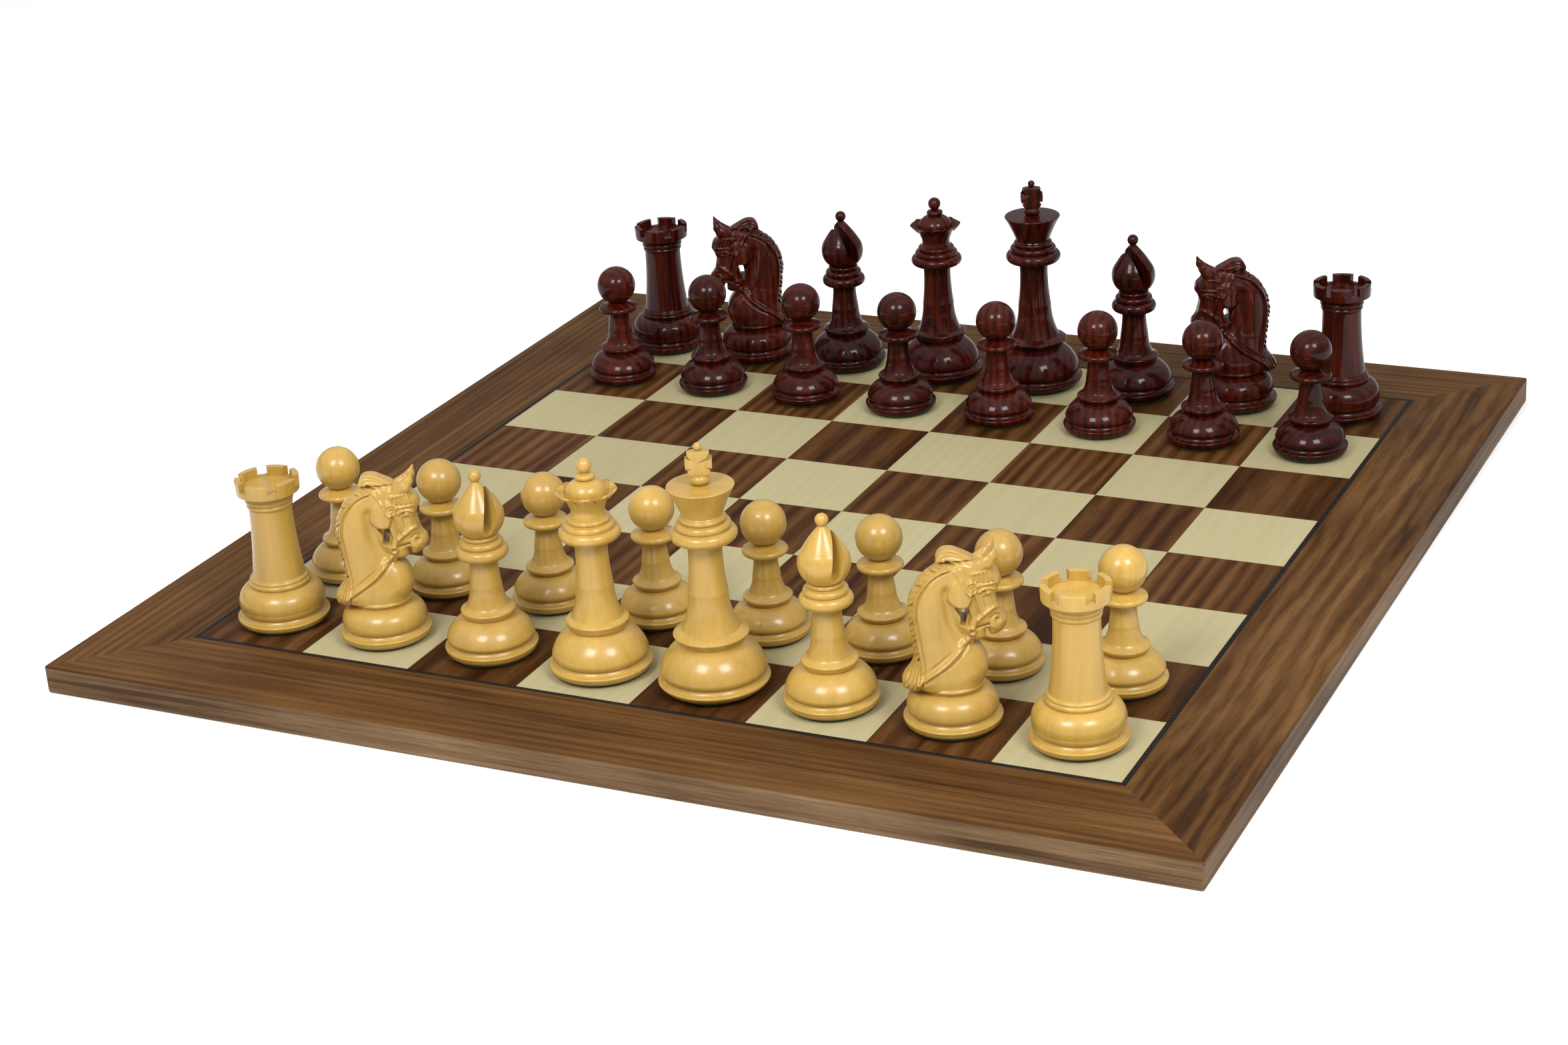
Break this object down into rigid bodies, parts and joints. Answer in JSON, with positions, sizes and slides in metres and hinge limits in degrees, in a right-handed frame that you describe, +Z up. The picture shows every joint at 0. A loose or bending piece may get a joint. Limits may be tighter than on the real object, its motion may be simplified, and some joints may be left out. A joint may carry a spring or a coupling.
{
  "type": "chess set with board",
  "caption": "Weighted wooden chess set in pale and deep red wood, standing ready to play on a flat inlaid walnut and maple board.",
  "frame": {"origin": "centre of the board's underside", "axes": "+Z up out of the playing surface; +X along White's side of the board, from the a file to the h file; +Y from White to Red"},
  "size_m": [0.54, 0.54, 0.1248],
  "materials": {
    "boxwood": "satin lacquered pale turned wood",
    "red_wood": "polished deep red turned wood with dark streaks",
    "walnut_veneer": "satin walnut veneer with long straight grain",
    "walnut_edge": "satin walnut edge strip",
    "dark_square_veneer": "satin walnut veneer",
    "light_square_veneer": "satin maple veneer",
    "black_line": "satin black dyed veneer",
    "fibreboard": "raw fibreboard, hidden inside the board",
    "steel_weight": "raw steel slug, hidden inside the chessman",
    "green_felt": "short green wool felt"
  },
  "bodies": {
    "board": {"core_panel": "fibreboard", "backing_veneer": "walnut_veneer", "dark_squares": "dark_square_veneer", "light_squares": "light_square_veneer", "line_front": "black_line", "border_front": "walnut_veneer", "lipping_front": "walnut_edge", "line_right": "black_line", "border_right": "walnut_veneer", "lipping_right": "walnut_edge", "line_back": "black_line", "border_back": "walnut_veneer", "lipping_back": "walnut_edge", "line_left": "black_line", "border_left": "walnut_veneer", "lipping_left": "walnut_edge"},
    "white_rook_a": {"white_rook_a": "boxwood"},
    "white_knight_b": {"white_knight_b": "boxwood", "white_knight_b_head": "boxwood"},
    "white_bishop_c": {"white_bishop_c": "boxwood"},
    "white_queen": {"white_queen": "boxwood"},
    "white_king": {"white_king": "boxwood", "white_king_cross": "boxwood", "white_king_weight": "steel_weight", "white_king_felt": "green_felt"},
    "white_bishop_f": {"white_bishop_f": "boxwood"},
    "white_knight_g": {"white_knight_g": "boxwood", "white_knight_g_head": "boxwood"},
    "white_rook_h": {"white_rook_h": "boxwood"},
    "white_pawn_a": {"white_pawn_a": "boxwood"},
    "white_pawn_b": {"white_pawn_b": "boxwood"},
    "white_pawn_c": {"white_pawn_c": "boxwood"},
    "white_pawn_d": {"white_pawn_d": "boxwood"},
    "white_pawn_e": {"white_pawn_e": "boxwood"},
    "white_pawn_f": {"white_pawn_f": "boxwood"},
    "white_pawn_g": {"white_pawn_g": "boxwood"},
    "white_pawn_h": {"white_pawn_h": "boxwood"},
    "red_rook_a": {"red_rook_a": "red_wood"},
    "red_knight_b": {"red_knight_b": "red_wood", "red_knight_b_head": "red_wood"},
    "red_bishop_c": {"red_bishop_c": "red_wood"},
    "red_queen": {"red_queen": "red_wood"},
    "red_king": {"red_king": "red_wood", "red_king_cross": "red_wood", "red_king_weight": "steel_weight", "red_king_felt": "green_felt"},
    "red_bishop_f": {"red_bishop_f": "red_wood"},
    "red_knight_g": {"red_knight_g": "red_wood", "red_knight_g_head": "red_wood"},
    "red_rook_h": {"red_rook_h": "red_wood"},
    "red_pawn_a": {"red_pawn_a": "red_wood"},
    "red_pawn_b": {"red_pawn_b": "red_wood"},
    "red_pawn_c": {"red_pawn_c": "red_wood"},
    "red_pawn_d": {"red_pawn_d": "red_wood"},
    "red_pawn_e": {"red_pawn_e": "red_wood"},
    "red_pawn_f": {"red_pawn_f": "red_wood"},
    "red_pawn_g": {"red_pawn_g": "red_wood"},
    "red_pawn_h": {"red_pawn_h": "red_wood"}
  },
  "joints": [
    {"name": "lift_white_rook_a", "type": "slide", "parent": "board", "child": "white_rook_a", "axis": [0, 0, 1], "range_m": [0, 0.13]},
    {"name": "lift_white_knight_b", "type": "slide", "parent": "board", "child": "white_knight_b", "axis": [0, 0, 1], "range_m": [0, 0.13]},
    {"name": "lift_white_bishop_c", "type": "slide", "parent": "board", "child": "white_bishop_c", "axis": [0, 0, 1], "range_m": [0, 0.13]},
    {"name": "lift_white_queen", "type": "slide", "parent": "board", "child": "white_queen", "axis": [0, 0, 1], "range_m": [0, 0.13]},
    {"name": "lift_white_king", "type": "slide", "parent": "board", "child": "white_king", "axis": [0, 0, 1], "range_m": [0, 0.13]},
    {"name": "lift_white_bishop_f", "type": "slide", "parent": "board", "child": "white_bishop_f", "axis": [0, 0, 1], "range_m": [0, 0.13]},
    {"name": "lift_white_knight_g", "type": "slide", "parent": "board", "child": "white_knight_g", "axis": [0, 0, 1], "range_m": [0, 0.13]},
    {"name": "lift_white_rook_h", "type": "slide", "parent": "board", "child": "white_rook_h", "axis": [0, 0, 1], "range_m": [0, 0.13]},
    {"name": "lift_white_pawn_a", "type": "slide", "parent": "board", "child": "white_pawn_a", "axis": [0, 0, 1], "range_m": [0, 0.13]},
    {"name": "lift_white_pawn_b", "type": "slide", "parent": "board", "child": "white_pawn_b", "axis": [0, 0, 1], "range_m": [0, 0.13]},
    {"name": "lift_white_pawn_c", "type": "slide", "parent": "board", "child": "white_pawn_c", "axis": [0, 0, 1], "range_m": [0, 0.13]},
    {"name": "lift_white_pawn_d", "type": "slide", "parent": "board", "child": "white_pawn_d", "axis": [0, 0, 1], "range_m": [0, 0.13]},
    {"name": "lift_white_pawn_e", "type": "slide", "parent": "board", "child": "white_pawn_e", "axis": [0, 0, 1], "range_m": [0, 0.13]},
    {"name": "lift_white_pawn_f", "type": "slide", "parent": "board", "child": "white_pawn_f", "axis": [0, 0, 1], "range_m": [0, 0.13]},
    {"name": "lift_white_pawn_g", "type": "slide", "parent": "board", "child": "white_pawn_g", "axis": [0, 0, 1], "range_m": [0, 0.13]},
    {"name": "lift_white_pawn_h", "type": "slide", "parent": "board", "child": "white_pawn_h", "axis": [0, 0, 1], "range_m": [0, 0.13]},
    {"name": "lift_red_rook_a", "type": "slide", "parent": "board", "child": "red_rook_a", "axis": [0, 0, 1], "range_m": [0, 0.13]},
    {"name": "lift_red_knight_b", "type": "slide", "parent": "board", "child": "red_knight_b", "axis": [0, 0, 1], "range_m": [0, 0.13]},
    {"name": "lift_red_bishop_c", "type": "slide", "parent": "board", "child": "red_bishop_c", "axis": [0, 0, 1], "range_m": [0, 0.13]},
    {"name": "lift_red_queen", "type": "slide", "parent": "board", "child": "red_queen", "axis": [0, 0, 1], "range_m": [0, 0.13]},
    {"name": "lift_red_king", "type": "slide", "parent": "board", "child": "red_king", "axis": [0, 0, 1], "range_m": [0, 0.13]},
    {"name": "lift_red_bishop_f", "type": "slide", "parent": "board", "child": "red_bishop_f", "axis": [0, 0, 1], "range_m": [0, 0.13]},
    {"name": "lift_red_knight_g", "type": "slide", "parent": "board", "child": "red_knight_g", "axis": [0, 0, 1], "range_m": [0, 0.13]},
    {"name": "lift_red_rook_h", "type": "slide", "parent": "board", "child": "red_rook_h", "axis": [0, 0, 1], "range_m": [0, 0.13]},
    {"name": "lift_red_pawn_a", "type": "slide", "parent": "board", "child": "red_pawn_a", "axis": [0, 0, 1], "range_m": [0, 0.13]},
    {"name": "lift_red_pawn_b", "type": "slide", "parent": "board", "child": "red_pawn_b", "axis": [0, 0, 1], "range_m": [0, 0.13]},
    {"name": "lift_red_pawn_c", "type": "slide", "parent": "board", "child": "red_pawn_c", "axis": [0, 0, 1], "range_m": [0, 0.13]},
    {"name": "lift_red_pawn_d", "type": "slide", "parent": "board", "child": "red_pawn_d", "axis": [0, 0, 1], "range_m": [0, 0.13]},
    {"name": "lift_red_pawn_e", "type": "slide", "parent": "board", "child": "red_pawn_e", "axis": [0, 0, 1], "range_m": [0, 0.13]},
    {"name": "lift_red_pawn_f", "type": "slide", "parent": "board", "child": "red_pawn_f", "axis": [0, 0, 1], "range_m": [0, 0.13]},
    {"name": "lift_red_pawn_g", "type": "slide", "parent": "board", "child": "red_pawn_g", "axis": [0, 0, 1], "range_m": [0, 0.13]},
    {"name": "lift_red_pawn_h", "type": "slide", "parent": "board", "child": "red_pawn_h", "axis": [0, 0, 1], "range_m": [0, 0.13]}
  ]
}
